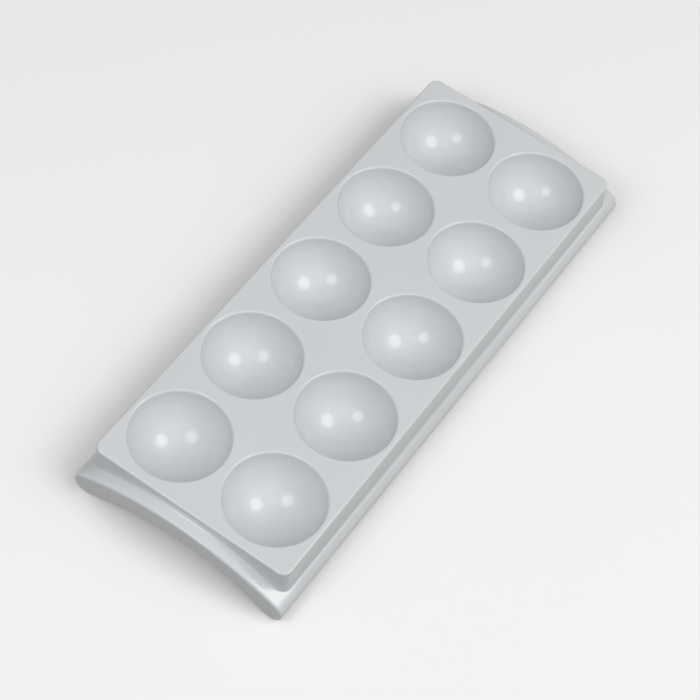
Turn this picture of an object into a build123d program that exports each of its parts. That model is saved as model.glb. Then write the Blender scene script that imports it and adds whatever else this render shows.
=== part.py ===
from build123d import *
from math import atan2, cos, radians, sin, sqrt
import os

# Egg holder tray, in millimetres. +X runs along the tray, +Y across it, +Z up.
# The origin is on the surface that the tray stands on, under the tray's middle.
# The tray is one moulding; each region of it is a closed solid of its own, and
# the regions meet face to face.

# Driving dimensions
CUP_COLUMNS = 5
CUP_PITCH = 49.0
ROW_SPACING = 46.7
CUP_RIM_RADIUS = 21.0
CUP_DEPTH = 20.0
CUP_SKIN = 1.8
RIM_ROUNDING = 1.0
RIM_LAND = 1.7

TRAY_LENGTH = 259.8
TRAY_WIDTH = 102.1
TRAY_HEIGHT = 25.0
SKIN = 2.0

DECK_LENGTH = 247.6
DECK_WIDTH = 94.1
DECK_CORNER_RADIUS = 4.2
DECK_EDGE_ROUNDING = 1.0
WALL_DRAFT = 2.5

CROWN_DROP = 3.7
GRIP_HEIGHT = 12.0
TIP_RADIUS = 5.7
FOOT_TRIM = 0.15
LIP_ANGLE = -108.0
END_EDGE_ROUNDING = 1.2

# Derived places
DECK_UNDERSIDE = TRAY_HEIGHT - SKIN
CROWN = TRAY_HEIGHT - CROWN_DROP
TIP_Y = TRAY_WIDTH / 2 - TIP_RADIUS
TIP_Z = TIP_RADIUS - FOOT_TRIM
PLATE_INNER_X = TRAY_LENGTH / 2 - SKIN
WALL_INNER_X = DECK_LENGTH / 2 - SKIN
WALL_INNER_Y = DECK_WIDTH / 2 - SKIN
LONG_WALL_END_X = DECK_LENGTH / 2 - DECK_CORNER_RADIUS
REACH = TRAY_LENGTH  # half size of a cutting block, past everything it trims

# Cup bowl: a ball through the rim circle and the lowest point
BALL_RADIUS = (CUP_RIM_RADIUS**2 + CUP_DEPTH**2) / (2 * CUP_DEPTH)
BALL_Z = TRAY_HEIGHT - CUP_DEPTH + BALL_RADIUS
CUP_COLLAR_RADIUS = CUP_RIM_RADIUS + RIM_LAND


def tangent_radius(crest, side):
    """Radius of the arc that tops out at height crest over the middle and runs
    tangent into the tip circle, which is inside it (side 1) or outside it (-1)."""
    rise = TIP_Z - crest
    return (TIP_Y**2 + rise**2 - TIP_RADIUS**2) / (-2 * rise - 2 * side * TIP_RADIUS)


SADDLE_RADIUS = tangent_radius(CROWN, 1)
GRIP_RADIUS = tangent_radius(GRIP_HEIGHT, -1)
SADDLE_CENTRE_Z = CROWN - SADDLE_RADIUS
GRIP_CENTRE_Z = GRIP_HEIGHT - GRIP_RADIUS


def on_circle(centre_y, centre_z, radius, angle):
    """Point of a circle in the tray's cross-section, as (y, z)."""
    return (centre_y + radius * cos(angle), centre_z + radius * sin(angle))


def block(low, high):
    """Axis-aligned box between two corners."""
    size = [b - a for a, b in zip(low, high)]
    middle = [(a + b) / 2 for a, b in zip(low, high)]
    return Pos(*middle) * Box(*size)


def along_x(section, start, end):
    """Cross-section drawn as (y, z), swept along X from start to end."""
    plane = Plane(origin=(start, 0, 0), x_dir=(0, 1, 0), z_dir=(1, 0, 0))
    return extrude(plane * section, amount=end - start)


def saddle_lean():
    """Direction from the saddle arc's centre to the tip's, as an angle."""
    return atan2(TIP_Z - SADDLE_CENTRE_Z, TIP_Y)


def saddle_arc(offset, start_y):
    """Arc of the saddle's top skin from start_y out to the tip, set in by offset."""
    radius = SADDLE_RADIUS - offset
    start = atan2(sqrt(radius**2 - start_y**2), start_y)
    end = saddle_lean()
    points = [on_circle(0, SADDLE_CENTRE_Z, radius, a) for a in (start, (start + end) / 2, end)]
    return ThreePointArc(*points)


def tip_arc(offset, end):
    """Arc round the tip from the saddle's top down to the angle end."""
    radius = TIP_RADIUS - offset
    start = saddle_lean()
    angles = (start, (start + end) / 2, end)
    return ThreePointArc(*[on_circle(TIP_Y, TIP_Z, radius, a) for a in angles])


def rail_section():
    """Hooked skin of a long side: the ledge, the round side and the inturned foot."""
    lip = radians(LIP_ANGLE)
    outer_ledge = saddle_arc(0, WALL_INNER_Y)
    outer_tip = tip_arc(0, lip)
    inner_tip = tip_arc(SKIN, lip)
    inner_ledge = saddle_arc(SKIN, WALL_INNER_Y)
    lip_end = Line(outer_tip @ 1, inner_tip @ 1)
    root = Line(inner_ledge @ 0, outer_ledge @ 0)
    return make_face([outer_ledge, outer_tip, lip_end, inner_tip, inner_ledge, root])


def end_outline():
    """Outline of an end plate: saddle arc above, round tips, grip arch below."""
    lean = atan2(TIP_Z - GRIP_CENTRE_Z, TIP_Y)
    half_top = saddle_arc(0, 0)
    tip = tip_arc(0, lean - radians(180))
    middle = (lean + radians(90)) / 2
    angles = (lean, middle, radians(90))
    grip = ThreePointArc(*[on_circle(0, GRIP_CENTRE_Z, GRIP_RADIUS, a) for a in angles])
    middle_line = Line(grip @ 1, half_top @ 0)
    half = make_face([half_top, tip, grip, middle_line])
    return half + mirror(half, about=Plane.YZ)


def above_floor(shape):
    """Trims the feet to their flat rest face."""
    return shape - block((-REACH, -REACH, -REACH), (REACH, REACH, 0))


def saddle_cylinder(offset):
    """The round solid whose top is the saddle's surface, set in by offset."""
    radius = SADDLE_RADIUS - offset
    return Pos(0, 0, SADDLE_CENTRE_Z) * Rot(0, 90, 0) * Cylinder(radius, TRAY_LENGTH * 2)


def cup_bulk():
    """Outer shape of a cup, filled in, standing on the tray's middle."""
    ball = Pos(0, 0, BALL_Z) * Sphere(BALL_RADIUS + CUP_SKIN)
    collar = Pos(0, 0, DECK_UNDERSIDE) * Cylinder(
        CUP_COLLAR_RADIUS, SKIN, align=(Align.CENTER, Align.CENTER, Align.MIN)
    )
    below_deck = block((-REACH, -REACH, 0), (REACH, REACH, DECK_UNDERSIDE))
    return (ball & below_deck) + collar


def egg_cup():
    """Cup with a round bowl and a rounded rim, standing on the tray's middle."""
    cup = cup_bulk() - Pos(0, 0, BALL_Z) * Sphere(BALL_RADIUS)
    rim = cup.edges().filter_by(GeomType.CIRCLE).filter_by_position(Axis.Z, TRAY_HEIGHT, TRAY_HEIGHT)
    return fillet(rim.sort_by(SortBy.RADIUS)[0], RIM_ROUNDING)


def cup_places():
    """Name and place of each cup: two rows, numbered from the -X end."""
    for side, row_y in (("left", ROW_SPACING / 2), ("right", -ROW_SPACING / 2)):
        for column in range(CUP_COLUMNS):
            x = (column - (CUP_COLUMNS - 1) / 2) * CUP_PITCH
            yield f"egg_cup_{side}_{column + 1}", Pos(x, row_y, 0)


def drafted_block(inset):
    """Deck body set in by inset, widening downwards with the walls' draft."""
    outline = RectangleRounded(
        DECK_LENGTH - 2 * inset, DECK_WIDTH - 2 * inset, DECK_CORNER_RADIUS - inset
    )
    return extrude(Pos(0, 0, TRAY_HEIGHT) * outline, amount=-TRAY_HEIGHT, taper=-WALL_DRAFT)


def deck_plate(cups):
    """Flat top of the tray, with a hole for each cup's collar."""
    plate = drafted_block(0) & block((-REACH, -REACH, DECK_UNDERSIDE), (REACH, REACH, TRAY_HEIGHT))
    rim = plate.faces().sort_by(Axis.Z)[-1].edges()
    plate = fillet(rim, DECK_EDGE_ROUNDING)
    for cup in cups:
        plate -= cup
    return plate


def deck_walls(cups):
    """The four walls between the deck plate and the saddle."""
    ring = drafted_block(0) - drafted_block(SKIN)
    ring &= block((-REACH, -REACH, 0), (REACH, REACH, DECK_UNDERSIDE))
    ring -= saddle_cylinder(0)
    for cup in cups:
        ring -= cup
    long_zone = block((-LONG_WALL_END_X, 0, 0), (LONG_WALL_END_X, REACH, TRAY_HEIGHT))
    end_zone = block((-REACH, -REACH, 0), (-LONG_WALL_END_X, REACH, TRAY_HEIGHT))
    return {
        "deck_wall_left": ring & long_zone,
        "deck_wall_right": ring & mirror(long_zone, about=Plane.XZ),
        "deck_wall_near": ring & end_zone,
        "deck_wall_far": ring & mirror(end_zone, about=Plane.YZ),
    }


def rails():
    """The long sides' hooked rails, between the end plates."""
    left = above_floor(along_x(rail_section(), -PLATE_INNER_X, PLATE_INNER_X))
    return {"side_rail_left": left, "side_rail_right": mirror(left, about=Plane.XZ)}


def end_ledges():
    """Arched ledges between each end wall and end plate."""
    skin = saddle_cylinder(0) - saddle_cylinder(SKIN)
    near = skin & block((-PLATE_INNER_X, -WALL_INNER_Y, 0), (-WALL_INNER_X, WALL_INNER_Y, TRAY_HEIGHT))
    return {"end_ledge_near": near, "end_ledge_far": mirror(near, about=Plane.YZ)}


def end_plates():
    """Upright end faces, arched underneath as finger grips."""
    near = above_floor(along_x(end_outline(), -TRAY_LENGTH / 2, -PLATE_INNER_X))
    outer_face = near.faces().sort_by(Axis.X)[0]
    upper = outer_face.edges().filter_by(lambda edge: edge.center().Z > TIP_Z)
    near = fillet(upper, END_EDGE_ROUNDING)
    return {"end_plate_near": near, "end_plate_far": mirror(near, about=Plane.YZ)}


def build():
    """All regions of the tray, by node name."""
    bulk = cup_bulk()
    cup = egg_cup()
    bulks = [place * bulk for _, place in cup_places()]
    parts = {name: place * cup for name, place in cup_places()}
    parts["deck_plate"] = deck_plate(bulks)
    parts.update(deck_walls(bulks))
    parts.update(rails())
    parts.update(end_ledges())
    parts.update(end_plates())
    return parts


os.makedirs("parts", exist_ok=True)
for name, shape in build().items():
    export_step(shape, f"parts/{name}.step")
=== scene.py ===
from math import atan2, ceil, cos, pi, radians, sin, sqrt, tan

import bmesh
import bpy
import numpy as np
from mathutils import Matrix, Vector


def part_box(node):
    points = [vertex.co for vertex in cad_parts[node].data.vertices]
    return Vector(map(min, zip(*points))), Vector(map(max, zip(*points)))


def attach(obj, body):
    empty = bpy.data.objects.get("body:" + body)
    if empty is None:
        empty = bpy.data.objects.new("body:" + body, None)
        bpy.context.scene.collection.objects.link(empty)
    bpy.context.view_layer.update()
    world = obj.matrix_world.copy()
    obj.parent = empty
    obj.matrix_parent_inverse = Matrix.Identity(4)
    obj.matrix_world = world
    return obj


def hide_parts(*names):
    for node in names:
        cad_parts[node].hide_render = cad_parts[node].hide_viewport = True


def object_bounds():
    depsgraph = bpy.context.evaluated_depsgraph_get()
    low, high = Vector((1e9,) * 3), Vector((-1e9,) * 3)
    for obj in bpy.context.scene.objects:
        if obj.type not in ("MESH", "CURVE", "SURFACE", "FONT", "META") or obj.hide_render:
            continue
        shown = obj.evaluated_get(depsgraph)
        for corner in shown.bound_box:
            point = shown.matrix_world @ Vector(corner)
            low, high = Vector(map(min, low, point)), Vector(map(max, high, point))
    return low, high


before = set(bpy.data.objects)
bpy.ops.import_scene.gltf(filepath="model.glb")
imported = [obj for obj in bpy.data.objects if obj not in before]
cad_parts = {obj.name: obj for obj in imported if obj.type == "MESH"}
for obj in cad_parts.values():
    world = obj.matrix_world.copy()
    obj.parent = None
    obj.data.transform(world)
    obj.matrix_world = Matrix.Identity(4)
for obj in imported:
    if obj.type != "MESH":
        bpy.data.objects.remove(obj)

# Egg holder tray: one continuous moulding, drawn over its CAD regions.
# Lengths are in millimetres until a mesh is made, which is in metres.

MM = 0.001
cad_low, cad_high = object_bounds()
cup_low, cup_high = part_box("egg_cup_left_1")
next_cup_low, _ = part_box("egg_cup_left_2")
_, plate_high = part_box("deck_plate")
_, near_plate_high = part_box("end_plate_near")

# Sizes of the moulding that the boxes don't show, as in the CAD
SKIN = 2.0
CUP_SKIN = 1.8
CUP_RIM_RADIUS = 21.0
RIM_ROUNDING = 1.0
DECK_EDGE_ROUNDING = 1.0
DECK_CORNER_RADIUS = 4.2
DRAFT = radians(2.5)
CROWN_DROP = 3.7
GRIP_HEIGHT = 12.0
TIP_RADIUS = 5.7
FOOT_TRIM = 0.15
LIP_ANGLE = radians(-108)
END_ROUNDING = 1.2

# Sizes and places read from the frame
TOP = cad_high.z / MM
HALF_LENGTH = cad_high.x / MM
HALF_WIDTH = cad_high.y / MM
CUP_PITCH = (next_cup_low.x - cup_low.x) / MM
ROW_Y = (cup_low.y + cup_high.y) / 2 / MM
CUP_DEPTH = TOP - cup_low.z / MM - CUP_SKIN
DECK_HALF_LENGTH = plate_high.x / MM - SKIN * tan(DRAFT)
DECK_HALF_WIDTH = plate_high.y / MM - SKIN * tan(DRAFT)
PLATE_INNER_X = -near_plate_high.x / MM
CUP_COLUMNS = 5

BALL_RADIUS = (CUP_RIM_RADIUS**2 + CUP_DEPTH**2) / (2 * CUP_DEPTH)
BALL_Z = TOP - CUP_DEPTH + BALL_RADIUS
DECK_UNDERSIDE = TOP - SKIN
CROWN = TOP - CROWN_DROP
TIP_Y = HALF_WIDTH - TIP_RADIUS
TIP_Z = TIP_RADIUS - FOOT_TRIM
CORNER_X = DECK_HALF_LENGTH - DECK_CORNER_RADIUS
CORNER_Y = DECK_HALF_WIDTH - DECK_CORNER_RADIUS
EDGE_INSET = DECK_EDGE_ROUNDING * tan((pi / 2 - DRAFT) / 2)
SWEEP_END_X = HALF_LENGTH - END_ROUNDING

# Cove between the deck wall and the ledge: crisp at the corners, soft between them
COVE_CORNER = 0.45
COVE_END_MIDDLE = 2.1
COVE_SIDE_MIDDLE = 2.3

# How finely the skin is drawn: rings of points over each curved part
BOWL_RINGS = 29
RIM_RINGS = 8
SHELL_RINGS = 22
DECK_EDGE_RINGS = 8
COVE_RINGS = 8
END_RINGS = 9
TIP_COLUMNS = 20
ARCH_POINTS = 61
ARCH_TIP_POINTS = 4
FOOT_COLUMNS = 4
STEP_AT_CORNERS = radians(0.7)
STEP_BETWEEN = radians(2.5)
NARROW_ANGLE = radians(10)  # directions closer than this take the smaller step
WALL_PARTS = (0.0, 0.25, 0.5, 0.75, 1.0)
LEDGE_PARTS = (0.04, 0.12, 0.28, 0.5, 0.75, 1.0)
INNER_WALL_PARTS = (0.0, 0.35, 0.7, 1.0)
INNER_LEDGE_PARTS = (0.3, 0.65, 1.0)

# Narrow bands beside a rounding keep its shading from spreading over the flat part
RIM_BAND = 0.12
CELL_BAND = 0.1
WALL_BAND = 0.08
PLATE_BAND = 0.1

LEDGE_EDGE_ANGLE = radians(48)  # where the ledge gives way to the round side
LOWER_END_ROUNDING = 0.5  # rounding of the end plate along its grip arch
ROUNDING_BLEND = 0.6  # how far up or down the skin faces where both roundings end
CREASE_ANGLE = radians(38)
WELD_DISTANCE = 0.0008
NO_LIMIT = 1e6
CLOSE = 1e-6  # lengths and shares nearer than this count as equal
TINY = 1e-12  # keeps a division off zero
STRAIGHT = 0.9999  # part of a direction along one axis on the outline's straight runs
HALVINGS = 48
ROUNDS = 40


def smooth(part):
    """part from 0 to 1, eased at both ends."""
    return 3 * part**2 - 2 * part**3


def tangent_radius(crest, side):
    """Radius of the arc over the middle that runs tangent into the tip circle."""
    rise = TIP_Z - crest
    return (TIP_Y**2 + rise**2 - TIP_RADIUS**2) / (-2 * rise - 2 * side * TIP_RADIUS)


SADDLE_RADIUS = tangent_radius(CROWN, 1)
SADDLE_Z = CROWN - SADDLE_RADIUS
GRIP_RADIUS = tangent_radius(GRIP_HEIGHT, -1)
GRIP_Z = GRIP_HEIGHT - GRIP_RADIUS
SADDLE_LEAN = atan2(TIP_Z - SADDLE_Z, TIP_Y)
GRIP_LEAN = atan2(TIP_Z - GRIP_Z, TIP_Y)
SADDLE_RUN = (pi / 2 - SADDLE_LEAN) * SADDLE_RADIUS
LEDGE_RUN = SADDLE_RUN + (SADDLE_LEAN - LEDGE_EDGE_ANGLE) * TIP_RADIUS


# ---- the tray's cross-section, by the run along its skin from the crown ----

def section(run, offset=0.0):
    """Points (y, z) of the outer skin at each run, set in by offset, and their normals."""
    run = np.asarray(run, float)
    size = np.abs(run)
    side = np.where(run < 0, -1.0, 1.0)
    on_saddle = size <= SADDLE_RUN
    angle = np.where(
        on_saddle,
        pi / 2 - size / SADDLE_RADIUS,
        SADDLE_LEAN - (size - SADDLE_RUN) / TIP_RADIUS,
    )
    radius = np.where(on_saddle, SADDLE_RADIUS, TIP_RADIUS) - offset
    y = np.where(on_saddle, 0.0, TIP_Y) + radius * np.cos(angle)
    z = np.where(on_saddle, SADDLE_Z, TIP_Z) + radius * np.sin(angle)
    return side * y, np.maximum(z, 0.0), side * np.cos(angle), np.sin(angle)


def section_distance(y, z):
    """Distance of each (y, z) outside the outer skin, and the run of its nearest point."""
    size = np.abs(y)
    angle = np.arctan2(z - SADDLE_Z, size)
    on_saddle = angle >= SADDLE_LEAN
    tip_angle = np.arctan2(z - TIP_Z, size - TIP_Y)
    distance = np.where(
        on_saddle,
        np.hypot(size, z - SADDLE_Z) - SADDLE_RADIUS,
        np.hypot(size - TIP_Y, z - TIP_Z) - TIP_RADIUS,
    )
    run = np.where(
        on_saddle,
        (pi / 2 - angle) * SADDLE_RADIUS,
        SADDLE_RUN + (SADDLE_LEAN - tip_angle) * TIP_RADIUS,
    )
    return distance, np.where(y < 0, -run, run)


# ---- outlines of the deck, seen from above ----

def outline_normals(points):
    """Outward direction of a deck outline at each of its points."""
    past = np.maximum(np.abs(points) - (CORNER_X, CORNER_Y), 0.0)
    past = np.sign(points) * past
    return past / np.linalg.norm(past, axis=1, keepdims=True)


def reach(start, heading, corner_radius):
    """How far each heading goes from start to the deck outline of that corner radius."""
    ahead = np.abs(heading) + TINY
    limit = np.array((CORNER_X, CORNER_Y)) + np.reshape(corner_radius, (-1, 1))
    room = (limit - start * np.sign(heading)) / ahead
    flat = room.min(axis=1)
    hit = start + heading * flat[:, None]
    in_corner = np.all(np.abs(hit) > (CORNER_X, CORNER_Y), axis=1)
    centre = np.sign(hit) * (CORNER_X, CORNER_Y)
    gap = start - centre
    along = (gap * heading).sum(axis=1)
    left = along**2 - (gap**2).sum(axis=1) + corner_radius**2
    arc = -along + np.sqrt(np.maximum(left, 0.0))
    return np.where(in_corner, arc, flat)


def quarter_directions():
    """Directions from a cup's centre over a quarter turn, with every cell corner among
    them, closest together where the deck's corners turn."""
    last_cup_x = CUP_PITCH * (CUP_COLUMNS - 1) / 2
    flat_x = DECK_HALF_LENGTH - EDGE_INSET - last_cup_x
    flat_y = DECK_HALF_WIDTH - EDGE_INSET - ROW_Y
    wall_x = DECK_HALF_LENGTH - SKIN + SKIN * tan(DRAFT) - last_cup_x
    wall_y = DECK_HALF_WIDTH - SKIN + SKIN * tan(DRAFT) - ROW_Y
    half_pitch = CUP_PITCH / 2
    corners = (
        (flat_x, CORNER_Y - ROW_Y), (half_pitch, wall_y), (half_pitch, flat_y), (flat_x, ROW_Y),
        (half_pitch, ROW_Y), (wall_x, ROW_Y), (CORNER_X - last_cup_x, flat_y),
    )
    stops = [0.0, *sorted(atan2(y, x) for x, y in corners), pi / 2]
    angles = []
    for start, end in zip(stops, stops[1:]):
        step = STEP_AT_CORNERS if end - start < NARROW_ANGLE else STEP_BETWEEN
        angles.extend(np.linspace(start, end, ceil((end - start) / step), endpoint=False))
    return np.array(angles)


def all_directions():
    """The same directions over the full turn, mirrored, so that neighbouring cups meet."""
    quarter = quarter_directions()
    back = np.append(quarter[1:], pi / 2)[::-1]
    angles = np.concatenate((quarter, pi - back, pi + quarter, 2 * pi - back))
    return np.unique(np.round(angles, 12))


DIRECTIONS = all_directions()
HEADINGS = np.stack((np.cos(DIRECTIONS), np.sin(DIRECTIONS)), axis=1)


def cups():
    """Centre of each cup, and how far its cell reaches: towards -X, +X, -Y and +Y."""
    for side in (1, -1):
        for column in range(CUP_COLUMNS):
            x = (column - (CUP_COLUMNS - 1) / 2) * CUP_PITCH
            limits = [CUP_PITCH / 2, CUP_PITCH / 2, NO_LIMIT, NO_LIMIT]
            if column == 0:
                limits[0] = NO_LIMIT
            if column == CUP_COLUMNS - 1:
                limits[1] = NO_LIMIT
            limits[2 if side > 0 else 3] = ROW_Y
            yield np.array((x, side * ROW_Y)), limits


def cell_reach(centre, limits, corner_radius):
    """How far each direction goes from a cup's centre to the edge of its cell."""
    low_x, high_x, low_y, high_y = limits
    across = np.where(HEADINGS[:, 0] < 0, low_x, high_x) / (np.abs(HEADINGS[:, 0]) + TINY)
    along = np.where(HEADINGS[:, 1] < 0, low_y, high_y) / (np.abs(HEADINGS[:, 1]) + TINY)
    outline = reach(centre, HEADINGS, corner_radius)
    inner = np.minimum(across, along)
    return np.minimum(inner, outline), outline < inner + CLOSE


# ---- meshes as sheets of points, welded where they meet ----

class Moulding:
    """Points and faces gathered from several sheets, then welded into one closed skin."""

    def __init__(self):
        self.points = []
        self.faces = []

    def add_points(self, points):
        """Adds points and returns the number of the first."""
        start = len(self.points)
        self.points.extend(map(tuple, points))
        return start

    def sheet(self, rows, closed):
        """Faces between rows of points; closed joins each row's end to its start."""
        width = len(rows[0])
        starts = [self.add_points(row) for row in rows]
        span = width if closed else width - 1
        for near, far in zip(starts, starts[1:]):
            for i in range(span):
                j = (i + 1) % width
                self.faces.append((near + i, near + j, far + j, far + i))

    def fan(self, middle, ring):
        """Triangles from a middle point to a closed ring."""
        centre = self.add_points([middle])
        start = self.add_points(ring)
        count = len(ring)
        for i in range(count):
            self.faces.append((centre, start + i, start + (i + 1) % count))

    def plate(self, loop):
        """One flat face within a loop of points."""
        start = self.add_points(loop)
        self.faces.append(tuple(range(start, start + len(loop))))

    def mesh(self, name):
        """The welded mesh in metres, with creases where the skin turns sharply."""
        shape = bmesh.new()
        verts = [shape.verts.new(Vector(p) * MM) for p in self.points]
        for face in self.faces:
            shape.faces.new([verts[i] for i in face])
        bmesh.ops.remove_doubles(shape, verts=shape.verts, dist=WELD_DISTANCE * MM)
        bmesh.ops.dissolve_degenerate(shape, dist=WELD_DISTANCE * MM / 2, edges=shape.edges)
        bmesh.ops.recalc_face_normals(shape, faces=shape.faces)
        for face in shape.faces:
            face.smooth = True
        data = bpy.data.meshes.new(name)
        shape.to_mesh(data)
        shape.free()
        data.set_sharp_from_angle(angle=CREASE_ANGLE)
        return data


def ring_at(centre, radii, z):
    """Points round a centre at a radius and height for each direction."""
    spots = centre + HEADINGS * np.reshape(radii, (-1, 1))
    heights = np.broadcast_to(z, len(spots))
    return np.column_stack((spots, heights))


# ---- the deck and its cups, from above ----

def bowl_profile():
    """Radius and height of the bowl from near its lowest point to the flat deck."""
    rim_z = TOP - RIM_ROUNDING
    rim_radius = sqrt((BALL_RADIUS + RIM_ROUNDING) ** 2 - (BALL_Z - rim_z) ** 2)
    meet = atan2(rim_radius, BALL_Z - rim_z)
    profile = []
    for angle in np.linspace(0, meet, BOWL_RINGS + 1)[1:]:
        profile.append((BALL_RADIUS * sin(angle), BALL_Z - BALL_RADIUS * cos(angle)))
    turn = pi / 2 - meet
    for angle in np.linspace(pi - turn, pi / 2, RIM_RINGS + 1)[1:]:
        profile.append((rim_radius + RIM_ROUNDING * cos(angle), rim_z + RIM_ROUNDING * sin(angle)))
    profile.append((rim_radius + RIM_BAND, TOP))
    return profile


def deck_top(tray):
    """Bowls and flat deck. Returns the deck's flat edge as an ordered loop."""
    edge = []
    profile = bowl_profile()
    for centre, limits in cups():
        far, outer = cell_reach(centre, limits, DECK_CORNER_RADIUS - EDGE_INSET)
        rows = [ring_at(centre, radius, z) for radius, z in profile]
        rows.append(ring_at(centre, far - CELL_BAND, TOP))
        rows.append(ring_at(centre, far, TOP))
        tray.fan((*centre, TOP - CUP_DEPTH), rows[0])
        tray.sheet(rows, True)
        edge.extend(rows[-1][outer])
    return in_order(edge)


def in_order(edge):
    """Points of a loop round the origin, sorted, each once."""
    edge = np.array(edge)
    turn = np.round(np.arctan2(edge[:, 1], edge[:, 0]), 7)
    _, first = np.unique(turn, return_index=True)
    return edge[first]


# ---- walls, cove and ledge ----

def cove_radius(points, normals):
    """Radius of the cove at each point of the deck outline."""
    from_corner_x = np.maximum(CORNER_X - np.abs(points[:, 0]), 0.0)
    from_corner_y = np.maximum(CORNER_Y - np.abs(points[:, 1]), 0.0)
    on_side = np.abs(normals[:, 1]) > STRAIGHT
    on_end = np.abs(normals[:, 0]) > STRAIGHT
    side_growth = COVE_SIDE_MIDDLE - COVE_CORNER
    end_growth = COVE_END_MIDDLE - COVE_CORNER
    side_cove = COVE_CORNER + side_growth * smooth(from_corner_x / CORNER_X)
    end_cove = COVE_CORNER + end_growth * smooth(from_corner_y / CORNER_Y)
    return np.where(on_side, side_cove, np.where(on_end, end_cove, COVE_CORNER))


def lowered_onto(edge, normals, start, ball, distance):
    """Height of the wall line where a ball resting on the wall is at that distance
    outside the section; the wall line is start from the loop at the deck's top."""
    low = np.zeros(len(edge))
    high = np.full(len(edge), TOP)
    for _ in range(HALVINGS):
        middle = (low + high) / 2
        gap, _ = section_distance(*ball_centre(edge, normals, start, ball, middle)[1:])
        too_high = gap > distance
        high = np.where(too_high, middle, high)
        low = np.where(too_high, low, middle)
    return (low + high) / 2


def wall_spot(edge, normals, start, z):
    """Points of a drafted wall that leaves the loop at the deck's top, at height z."""
    shift = start + (TOP - z) * tan(DRAFT)
    spots = edge[:, :2] + normals * np.reshape(shift, (-1, 1))
    return np.column_stack((spots, np.broadcast_to(z, len(spots))))


def ball_centre(edge, normals, start, ball, z):
    """Centre (x, y, z) of a ball touching the wall's outside at height z."""
    spots = wall_spot(edge, normals, start, z)
    x = spots[:, 0] + ball * normals[:, 0] * cos(DRAFT)
    y = spots[:, 1] + ball * normals[:, 1] * cos(DRAFT)
    return x, y, spots[:, 2] + ball * sin(DRAFT)


def ledge_target(normals, x, run, limit_x, extra_x):
    """Where each point of a loop on the skin goes: out to a rectangle in (x, run)."""
    share = np.arctan2(np.abs(normals[:, 1]), np.abs(normals[:, 0])) / (pi / 2)
    sign_x = np.where(normals[:, 0] < 0, -1.0, 1.0)
    sign_y = np.where(normals[:, 1] < 0, -1.0, 1.0)
    on_end = share < CLOSE
    on_side = share > 1 - CLOSE
    corner_run = np.abs(run[on_end]).max()
    end_part = np.clip(share / 0.5, 0, 1)
    side_part = np.clip((share - 0.5) / 0.5, 0, 1)
    goal_x = sign_x * (limit_x + (CORNER_X - limit_x) * side_part)
    goal_run = sign_y * (corner_run + (LEDGE_RUN - corner_run) * end_part)
    goal_x = np.where(on_side, x, goal_x)
    goal_run = np.where(on_end, run, goal_run)
    for sx in (-1, 1):
        for sy in (-1, 1):
            here = np.flatnonzero((sign_x == sx) & (sign_y == sy) & ~on_end & ~on_side)
            ordered = here[np.argsort(share[here])]
            corner = np.argmin(np.abs(share[ordered] - 0.5))
            goal_x[ordered[corner]] = sx * limit_x
            goal_run[ordered[corner]] = sy * LEDGE_RUN
            if extra_x is not None:
                goal_x[ordered[corner + 1]] = sx * extra_x
    return goal_x, goal_run


def on_skin(x, run, offset):
    """Points of the swept section."""
    y, z, _, _ = section(run, offset)
    return np.column_stack((np.broadcast_to(x, len(y)), y, z))


def outer_walls(tray, edge):
    """Rounded deck edge, drafted wall, cove and ledge. Returns the ledge's outer loop."""
    normals = outline_normals(edge[:, :2])
    rows = []
    for angle in np.linspace(pi / 2, DRAFT, DECK_EDGE_RINGS):
        spots = edge[:, :2] + normals * DECK_EDGE_ROUNDING * cos(angle)
        z = TOP - DECK_EDGE_ROUNDING + DECK_EDGE_ROUNDING * sin(angle)
        rows.append(np.column_stack((spots, np.full(len(spots), z))))
    ball = cove_radius(edge[:, :2], normals)
    foot = lowered_onto(edge, normals, EDGE_INSET, ball, ball)
    top = rows[-1][0][2] - WALL_BAND
    for part in WALL_PARTS:
        rows.append(wall_spot(edge, normals, EDGE_INSET, top + (foot - top) * part))
    x, y, z = ball_centre(edge, normals, EDGE_INSET, ball, foot)
    _, run = section_distance(y, z)
    _, _, out_y, out_z = section(run)
    wall_pull = -np.column_stack((normals * cos(DRAFT), np.full(len(x), sin(DRAFT))))
    skin_pull = -np.column_stack((np.zeros(len(x)), out_y, out_z))
    centre = np.column_stack((x, y, z))
    for part in np.linspace(0, 1, COVE_RINGS + 1)[1:]:
        pull = between(wall_pull, skin_pull, part)
        rows.append(centre + pull * ball[:, None])
    goal_x, goal_run = ledge_target(normals, x, run, SWEEP_END_X, PLATE_INNER_X)
    for part in LEDGE_PARTS:
        rows.append(on_skin(x + (goal_x - x) * part, run + (goal_run - run) * part, 0.0))
    tray.sheet(rows, True)
    return goal_x, goal_run


def between(first, second, part):
    """Directions turned from first towards second by that part of the angle."""
    angle = np.arccos(np.clip((first * second).sum(axis=1), -1, 1))[:, None]
    mixed = np.sin((1 - part) * angle) * first + np.sin(part * angle) * second
    return mixed / np.sin(angle)


# ---- rails, end plates and lips ----

def hook_runs():
    """Runs from the ledge's edge round the tip to the lip, with the foot's two edges."""
    foot_edge = atan2(TIP_Z, sqrt(TIP_RADIUS**2 - TIP_Z**2))
    stops = [LEDGE_RUN]
    for angle in (-foot_edge, foot_edge - pi, LIP_ANGLE):
        stops.append(SADDLE_RUN + (SADDLE_LEAN - angle) * TIP_RADIUS)
    side = np.linspace(stops[0], stops[1], TIP_COLUMNS)[:-1]
    foot = np.linspace(stops[1], stops[2], FOOT_COLUMNS)[:-1]
    return np.array([*side, *foot, stops[2], stops[3]])


HOOK_RUNS = hook_runs()


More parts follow.
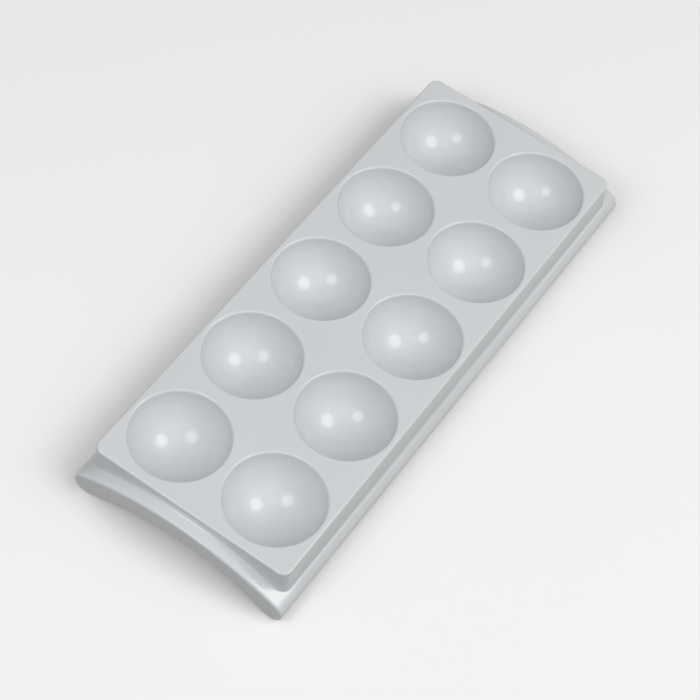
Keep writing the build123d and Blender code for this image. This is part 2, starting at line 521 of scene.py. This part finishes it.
def hook_sheets(tray, goal_x, goal_run, offset):
    """The skin of both long sides from the ledge round to the lip. Returns each lip's row."""
    lips = {}
    for side in (-1, 1):
        columns = np.unique(np.round(goal_x[np.abs(goal_run - side * LEDGE_RUN) < CLOSE], 6))
        rows = [on_skin(columns, np.full(len(columns), side * run), offset) for run in HOOK_RUNS]
        tray.sheet(rows, False)
        lips[side] = rows[-1]
    return lips


def arch_points():
    """The end plate's lower edge from the +Y lip to the -Y one, as y, z and normals."""
    tip_end = GRIP_LEAN - pi
    tip_angles = np.linspace(LIP_ANGLE, tip_end, ARCH_TIP_POINTS)
    y = list(TIP_Y + TIP_RADIUS * np.cos(tip_angles))
    z = list(TIP_Z + TIP_RADIUS * np.sin(tip_angles))
    out_y = list(np.cos(tip_angles))
    out_z = list(np.sin(tip_angles))
    for angle in np.linspace(GRIP_LEAN, pi - GRIP_LEAN, ARCH_POINTS)[1:-1]:
        y.append(GRIP_RADIUS * cos(angle))
        z.append(GRIP_Z + GRIP_RADIUS * sin(angle))
        out_y.append(-cos(angle))
        out_z.append(-sin(angle))
    last = ARCH_TIP_POINTS - 1
    mirrored = [
        [-v for v in y[last::-1]], z[last::-1], [-v for v in out_y[last::-1]], out_z[last::-1]
    ]
    lists = [first + second for first, second in zip((y, z, out_y, out_z), mirrored)]
    return [np.array(values) for values in lists]


def end_plate(tray, end, goal_x, goal_run):
    """Rounded rim and face of one end plate, and its arch's thickness. Returns the arch."""
    top_runs = np.unique(np.round(goal_run[np.abs(goal_x - end * SWEEP_END_X) < CLOSE], 6))
    runs = np.concatenate((-HOOK_RUNS[:0:-1], top_runs, HOOK_RUNS[1:]))
    y, z, out_y, out_z = section(runs)
    arch_y, arch_z, arch_out_y, arch_out_z = arch_points()
    rim_y = np.concatenate((y, arch_y[1:-1]))
    rim_z = np.concatenate((z, arch_z[1:-1]))
    rim_out = np.column_stack(
        (np.concatenate((out_y, arch_out_y[1:-1])), np.concatenate((out_z, arch_out_z[1:-1])))
    )
    height = np.clip((rim_out[:, 1] + ROUNDING_BLEND) / (2 * ROUNDING_BLEND), 0, 1)
    growth = END_ROUNDING - LOWER_END_ROUNDING
    radius = LOWER_END_ROUNDING + growth * smooth(height)
    rows = [np.column_stack((np.full(len(rim_y), end * SWEEP_END_X), rim_y, rim_z))]
    for angle in np.linspace(0, pi / 2, END_RINGS):
        x = end * (HALF_LENGTH - radius + radius * sin(angle))
        inset = (radius * (1 - cos(angle)))[:, None] * rim_out
        rows.append(np.column_stack((x, rim_y - inset[:, 0], np.maximum(rim_z - inset[:, 1], 0))))
    inset = (radius + PLATE_BAND)[:, None] * rim_out
    face_x = np.full(len(rim_y), end * HALF_LENGTH)
    rows.append(np.column_stack((face_x, rim_y - inset[:, 0], rim_z - inset[:, 1])))
    tray.sheet(rows, True)
    tray.plate(rows[-1])
    arch = np.column_stack((arch_y, arch_z))
    thickness = [
        np.column_stack((np.full(len(arch), end * x), arch)) for x in (PLATE_INNER_X, SWEEP_END_X)
    ]
    tray.sheet(thickness, False)
    return arch


# ---- the underside ----

def shell_height(radius):
    """Height of the underside at that distance from a cup's centre."""
    outer = BALL_RADIUS + CUP_SKIN
    drop = np.sqrt(np.maximum(outer**2 - np.asarray(radius) ** 2, 0.0))
    return np.minimum(BALL_Z - drop, DECK_UNDERSIDE)


def underside_deck(tray):
    """Cup shells and the deck's underside. Returns the loop at the walls' inner faces."""
    outer = BALL_RADIUS + CUP_SKIN
    shell_edge = sqrt(outer**2 - (BALL_Z - DECK_UNDERSIDE) ** 2)
    edge = []
    for centre, limits in cups():
        z = np.full(len(HEADINGS), DECK_UNDERSIDE)
        for _ in range(ROUNDS):
            corner = DECK_CORNER_RADIUS - SKIN + (TOP - z) * tan(DRAFT)
            far, walled = cell_reach(centre, limits, corner)
            z = shell_height(far)
        shell = np.minimum(shell_edge, far)
        rows = []
        for part in np.linspace(0, 1, SHELL_RINGS + 1)[1:]:
            slant = np.arcsin(shell / outer) * part
            rows.append(ring_at(centre, outer * np.sin(slant), BALL_Z - outer * np.cos(slant)))
        rows.append(ring_at(centre, far, z))
        tray.fan((*centre, BALL_Z - outer), rows[0])
        tray.sheet(rows, True)
        edge.extend(rows[-1][walled])
    return in_order(edge)


def inner_walls(tray, edge):
    """Inner faces of the walls and the ledge's underside. Returns the outer loop."""
    normals = outline_normals(edge[:, :2])
    drop = TOP - edge[:, 2]
    base = edge.copy()
    base[:, :2] -= normals * (drop * tan(DRAFT))[:, None]
    foot = lowered_onto(base, normals, 0.0, np.zeros(len(edge)), -SKIN)
    rows = []
    for part in INNER_WALL_PARTS:
        rows.append(wall_spot(base, normals, 0.0, edge[:, 2] + (foot - edge[:, 2]) * part))
    _, run = section_distance(rows[-1][:, 1], rows[-1][:, 2])
    x = rows[-1][:, 0]
    goal_x, goal_run = ledge_target(normals, x, run, PLATE_INNER_X, None)
    for part in INNER_LEDGE_PARTS:
        rows.append(on_skin(x + (goal_x - x) * part, run + (goal_run - run) * part, SKIN))
    tray.sheet(rows, True)
    return goal_x, goal_run


def inner_face(tray, end, goal_x, goal_run, arch):
    """The end plate's inner face, inside the hooks."""
    top_runs = np.unique(np.round(goal_run[np.abs(goal_x - end * PLATE_INNER_X) < CLOSE], 6))
    runs = np.concatenate((-HOOK_RUNS[:0:-1], top_runs, HOOK_RUNS[1:]))
    upper = on_skin(end * PLATE_INNER_X, runs, SKIN)
    lower = np.column_stack((np.full(len(arch), end * PLATE_INNER_X), arch))
    tray.plate(np.concatenate((upper, lower)))


def lip(tray, outer_row, inner_row):
    """The flat end of a hook, between its outer and inner skins."""
    kept = outer_row[np.abs(outer_row[:, 0]) < PLATE_INNER_X + CLOSE]
    tray.plate(np.concatenate((kept, inner_row[::-1])))


def tray_mesh():
    """The whole moulding as one closed mesh."""
    tray = Moulding()
    goal_x, goal_run = outer_walls(tray, deck_top(tray))
    inner_x, inner_run = inner_walls(tray, underside_deck(tray))
    outer_lips = hook_sheets(tray, goal_x, goal_run, 0.0)
    inner_lips = hook_sheets(tray, inner_x, inner_run, SKIN)
    for side in (-1, 1):
        lip(tray, outer_lips[side], inner_lips[side])
    for end in (-1, 1):
        arch = end_plate(tray, end, goal_x, goal_run)
        inner_face(tray, end, inner_x, inner_run, arch)
    return tray.mesh("tray_moulding")


tray = bpy.data.objects.new("tray_moulding", tray_mesh())
bpy.context.scene.collection.objects.link(tray)


# ---- materials ----

PLASTIC_LIGHT = (0.664, 0.685, 0.699, 1)
PLASTIC_DARK = (0.646, 0.666, 0.680, 1)
GLOSS = 0.13
GLOSS_SPREAD = 0.03


def put(tree, kind, settings=None, **values):
    """A new node, with its settings and the values of its unlinked sockets."""
    node = tree.nodes.new(kind)
    for name, value in (settings or {}).items():
        setattr(node, name, value)
    for name, value in values.items():
        node.inputs[name.replace("_", " ")].default_value = value
    return node


def noise(tree, place, stretch, **values):
    """Noise over the object's own coordinates in metres, stretched along its axes."""
    mapping = put(tree, "ShaderNodeMapping")
    mapping.inputs["Scale"].default_value = stretch
    texture = put(tree, "ShaderNodeTexNoise", **values)
    tree.links.new(place, mapping.inputs["Vector"])
    tree.links.new(mapping.outputs["Vector"], texture.inputs["Vector"])
    return texture.outputs["Fac"]


def remap(tree, value, low, high, start=0.0, end=1.0):
    """value taken from the range start to end onto the range low to high."""
    settings = {"clamp": True}
    node = put(tree, "ShaderNodeMapRange", settings, From_Min=start, From_Max=end)
    node.inputs["To Min"].default_value = low
    node.inputs["To Max"].default_value = high
    tree.links.new(value, node.inputs["Value"])
    return node.outputs["Result"]


def maths(tree, operation, first, second):
    """Result of a sum on a socket and a second socket or number."""
    node = put(tree, "ShaderNodeMath", {"operation": operation})
    tree.links.new(first, node.inputs[0])
    if isinstance(second, float):
        node.inputs[1].default_value = second
    else:
        tree.links.new(second, node.inputs[1])
    return node.outputs["Value"]


def plastic():
    """Glossy light grey moulded plastic: faint clouding, flow streaks and hairlines in
    its gloss, and the fine orange-peel skin that a polished steel mould leaves."""
    material = bpy.data.materials.new("grey_gloss_plastic")
    material.use_nodes = True
    tree = material.node_tree
    shader = tree.nodes["Principled BSDF"]
    place = put(tree, "ShaderNodeTexCoord").outputs["Object"]

    cloud = noise(tree, place, (1, 1, 1), Scale=26.0, Detail=3.0, Roughness=0.5)
    tone = put(tree, "ShaderNodeMix", {"data_type": "RGBA"})
    tone.inputs["A"].default_value = PLASTIC_DARK
    tone.inputs["B"].default_value = PLASTIC_LIGHT
    tree.links.new(remap(tree, cloud, 0.0, 1.0, 0.3, 0.7), tone.inputs["Factor"])
    tree.links.new(tone.outputs["Result"], shader.inputs["Base Color"])

    flow = noise(tree, place, (7, 60, 60), Scale=4.0, Detail=4.0, Roughness=0.6)
    hairline = noise(tree, place, (14, 900, 500), Scale=3.0, Detail=2.0, Roughness=0.5)
    gloss = remap(tree, flow, GLOSS - GLOSS_SPREAD, GLOSS + GLOSS_SPREAD, 0.25, 0.75)
    worn = remap(tree, hairline, 0.0, 0.10, 0.66, 0.78)
    tree.links.new(maths(tree, "ADD", gloss, worn), shader.inputs["Roughness"])

    peel = noise(tree, place, (1, 1, 1), Scale=620.0, Detail=2.0, Roughness=0.45)
    swell = noise(tree, place, (1, 1, 1), Scale=95.0, Detail=1.0, Roughness=0.4)
    ripple = put(tree, "ShaderNodeBump", Strength=0.5, Distance=0.00002)
    tree.links.new(swell, ripple.inputs["Height"])
    skin = put(tree, "ShaderNodeBump", Strength=0.5, Distance=0.000004)
    tree.links.new(peel, skin.inputs["Height"])
    tree.links.new(ripple.outputs["Normal"], skin.inputs["Normal"])
    tree.links.new(skin.outputs["Normal"], shader.inputs["Normal"])
    shader.inputs["IOR"].default_value = 1.5
    return material


def paper():
    """Matt white studio paper."""
    material = bpy.data.materials.new("floor_paper")
    material.use_nodes = True
    tree = material.node_tree
    shader = tree.nodes["Principled BSDF"]
    shader.inputs["Base Color"].default_value = (0.92, 0.92, 0.92, 1)
    shader.inputs["Roughness"].default_value = 0.9
    shader.inputs["Specular IOR Level"].default_value = 0.1
    return material


tray.data.materials.append(plastic())

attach(tray, "root")
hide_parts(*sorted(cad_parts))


# ---- floor, light and camera ----

FLOOR_SIZE = 40.0
FLOOR_DROP = 0.0002  # keeps the floor's face off the tray's feet
bm = bmesh.new()
bmesh.ops.create_grid(bm, x_segments=2, y_segments=2, size=FLOOR_SIZE / 2)
floor_data = bpy.data.meshes.new("studio_floor")
bm.to_mesh(floor_data)
bm.free()
floor = bpy.data.objects.new("studio_floor", floor_data)
floor.location = (0, 0, cad_low.z - FLOOR_DROP)
bpy.context.scene.collection.objects.link(floor)
floor_data.materials.append(paper())
# The floor shows the tray's shadow. The light it throws up is TABLE_LEVEL instead.
floor.visible_diffuse = False

# Softboxes: place, diameter in metres, watts and tint
SOFTBOXES = {
    "softbox_right": ((0.15, -0.58, 0.79), 0.5, 2.3, (1.0, 0.99, 0.975)),
    "softbox_left": ((-0.52, 0.15, 0.63), 0.35, 1.0, (1.0, 1.0, 1.0)),
}

# Soft studio glow: heading and elevation in degrees, narrowness and strength
GLOWS = (
    (120, 40, 6, 0.9),
    (180, 40, 6, 0.55),
    (240, 40, 6, 0.6),
    (300, 40, 6, 1.5),
    (200, 65, 12, 0.75),
)
GLOW_FADES_IN = (0.2, 0.5)  # sine of the elevation where the glow starts and is full
BACKDROP_LEVEL = 0.25  # brightness round the horizon
TABLE_LEVEL = 0.10  # brightness from below
HORIZON = 0.01  # sine of the elevation over which one gives way to the other


def aim(place, target, roll=0.0):
    """Placing matrix that looks from place to target, with its right side rolled up."""
    forward = (Vector(target) - Vector(place)).normalized()
    right = forward.cross(Vector((0, 0, 1)))
    if right.length < 1e-6:
        right = Vector((1, 0, 0))
    right.normalize()
    up = right.cross(forward)
    turned = right * cos(roll) + up * sin(roll)
    up = turned.cross(forward)
    frame_axes = Matrix((turned, up, -forward)).transposed()
    return Matrix.Translation(place) @ frame_axes.to_4x4()


for name, (place, size, power, tint) in SOFTBOXES.items():
    data = bpy.data.lights.new(name, "AREA")
    data.shape = "DISK"
    data.size = size
    data.energy = power
    data.color = tint
    lamp = bpy.data.objects.new(name, data)
    lamp.matrix_world = aim(Vector(place), Vector((0, 0, TOP * MM)))
    bpy.context.scene.collection.objects.link(lamp)


def glow(tree, direction, heading, elevation, narrowness, strength):
    """Brightness of one soft round glow in the studio's surroundings."""
    heading, elevation = radians(heading), radians(elevation)
    level = cos(elevation)
    axis = (cos(heading) * level, sin(heading) * level, sin(elevation))
    dot = put(tree, "ShaderNodeVectorMath", {"operation": "DOT_PRODUCT"})
    dot.inputs[1].default_value = axis
    tree.links.new(direction, dot.inputs[0])
    facing = maths(tree, "MAXIMUM", dot.outputs["Value"], 0.0)
    return maths(tree, "MULTIPLY", maths(tree, "POWER", facing, float(narrowness)), strength)


def studio():
    """Surroundings: a few wide soft glows overhead and all round, over a plain backdrop."""
    world = bpy.data.worlds.new("studio")
    world.use_nodes = True
    tree = world.node_tree
    background = tree.nodes["Background"]
    background.inputs["Color"].default_value = (1, 1, 1, 1)
    direction = put(tree, "ShaderNodeTexCoord").outputs["Generated"]
    total = glow(tree, direction, *GLOWS[0])
    for values in GLOWS[1:]:
        total = maths(tree, "ADD", total, glow(tree, direction, *values))
    split = put(tree, "ShaderNodeSeparateXYZ")
    tree.links.new(direction, split.inputs["Vector"])
    start, full = GLOW_FADES_IN
    settings = {"interpolation_type": "SMOOTHSTEP"}
    fade = put(tree, "ShaderNodeMapRange", settings, From_Min=start, From_Max=full)
    tree.links.new(split.outputs["Z"], fade.inputs["Value"])
    overhead = maths(tree, "MULTIPLY", total, fade.outputs["Result"])
    above = put(tree, "ShaderNodeMapRange", From_Min=-HORIZON, From_Max=HORIZON)
    above.inputs["To Min"].default_value = TABLE_LEVEL
    above.inputs["To Max"].default_value = BACKDROP_LEVEL
    tree.links.new(split.outputs["Z"], above.inputs["Value"])
    around = put(tree, "ShaderNodeMapRange", settings, From_Min=start, From_Max=full, To_Max=0.0)
    tree.links.new(above.outputs["Result"], around.inputs["To Min"])
    tree.links.new(split.outputs["Z"], around.inputs["Value"])
    strength = maths(tree, "ADD", overhead, around.outputs["Result"])
    tree.links.new(strength, background.inputs["Strength"])
    return world


bpy.context.scene.world = studio()
bpy.context.scene.view_settings.view_transform = "Standard"

CAMERA_HEADING = radians(25.40)
CAMERA_ELEVATION = radians(56.06)
CAMERA_ROLL = radians(11.06)
CAMERA_PLACE = Vector((-0.46426, -0.21676, 0.75233))
CAMERA_LENS = 109.57
SENSOR_WIDTH = 36.0
camera_data = bpy.data.cameras.new("photo_camera")
camera_data.sensor_width = SENSOR_WIDTH
camera_data.lens = CAMERA_LENS
camera = bpy.data.objects.new("photo_camera", camera_data)
look = Vector((
    cos(CAMERA_HEADING) * cos(CAMERA_ELEVATION),
    sin(CAMERA_HEADING) * cos(CAMERA_ELEVATION),
    -sin(CAMERA_ELEVATION),
))
camera.matrix_world = aim(CAMERA_PLACE, CAMERA_PLACE + look, CAMERA_ROLL)
bpy.context.scene.collection.objects.link(camera)
bpy.context.scene.camera = camera
